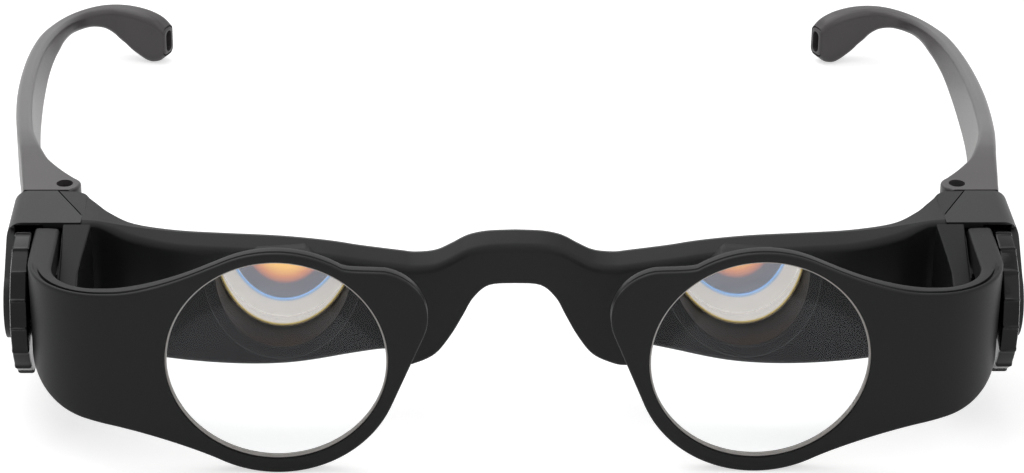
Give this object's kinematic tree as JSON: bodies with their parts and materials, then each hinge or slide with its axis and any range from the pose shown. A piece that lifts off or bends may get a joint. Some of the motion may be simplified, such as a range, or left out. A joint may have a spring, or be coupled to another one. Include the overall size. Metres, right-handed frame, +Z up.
{
  "type": "binocular glasses",
  "caption": "Black spectacle-frame binoculars: small eyepiece lenses in the frame, large objective lenses in sliding wrap-round carriers moved by side focus wheels, and folding temples.",
  "frame": {"origin": "bottom centre of the glasses' box, on the plane that the lens rims and temple tips stand on", "axes": "+X across the face towards the wearer's left, -Y the way the wearer looks, +Z up"},
  "size_m": [0.1554, 0.1474, 0.0335],
  "materials": {
    "frame_plastic": "satin moulded black plastic",
    "cover_plastic": "satin moulded black plastic",
    "carrier_plastic": "satin moulded black plastic",
    "temple_plastic": "satin moulded black plastic",
    "wheel_plastic": "glossier moulded black plastic",
    "ring_plastic": "translucent white plastic",
    "ring_black": "moulded black plastic",
    "lens": "clear polished acrylic",
    "screw_steel": "blackened steel"
  },
  "bodies": {
    "frame": {"main_frame": "frame_plastic", "right_corner_cover": "cover_plastic", "left_corner_cover": "cover_plastic", "cover_screws": "screw_steel", "right_eyepiece_lens": "lens", "left_eyepiece_lens": "lens", "right_eyepiece_ring": "ring_plastic", "left_eyepiece_ring": "ring_plastic", "right_wheel_axle": "screw_steel", "left_wheel_axle": "screw_steel"},
    "right_objective": {"right_objective_carrier": "carrier_plastic", "right_objective_lens": "lens", "right_objective_ring": "ring_black"},
    "left_objective": {"left_objective_carrier": "carrier_plastic", "left_objective_lens": "lens", "left_objective_ring": "ring_black"},
    "right_wheel": {"right_focus_wheel": "wheel_plastic"},
    "left_wheel": {"left_focus_wheel": "wheel_plastic"},
    "right_arm": {"right_temple": "temple_plastic", "right_hinge_screw": "screw_steel"},
    "left_arm": {"left_temple": "temple_plastic", "left_hinge_screw": "screw_steel"}
  },
  "joints": [
    {"name": "right_focus_turn", "type": "hinge", "parent": "frame", "child": "right_wheel", "pos_m": [-0.06805, -0.0542, 0.0172], "axis": [1, 0, 0], "range_deg": [-13.4, 95.5]},
    {"name": "right_focus_slide", "type": "slide", "parent": "frame", "child": "right_objective", "axis": [0, -1, 0], "range_m": [-0.0007, 0.005]},
    {"name": "left_focus_turn", "type": "hinge", "parent": "frame", "child": "left_wheel", "pos_m": [0.06805, -0.0542, 0.0172], "axis": [1, 0, 0], "range_deg": [-13.4, 95.5]},
    {"name": "left_focus_slide", "type": "slide", "parent": "frame", "child": "left_objective", "axis": [0, -1, 0], "range_m": [-0.0007, 0.005]},
    {"name": "right_temple_fold", "type": "hinge", "parent": "frame", "child": "right_arm", "pos_m": [-0.06375, -0.0384, 0.0176], "axis": [0, 0, -1], "range_deg": [0, 88]},
    {"name": "left_temple_fold", "type": "hinge", "parent": "frame", "child": "left_arm", "pos_m": [0.06375, -0.0384, 0.0176], "axis": [0, 0, 1], "range_deg": [0, 70]}
  ],
  "couplings": [
    {"joint": "right_focus_turn", "follows": "right_focus_slide", "rad_per_m": 333.33},
    {"joint": "left_focus_turn", "follows": "left_focus_slide", "rad_per_m": 333.33}
  ]
}
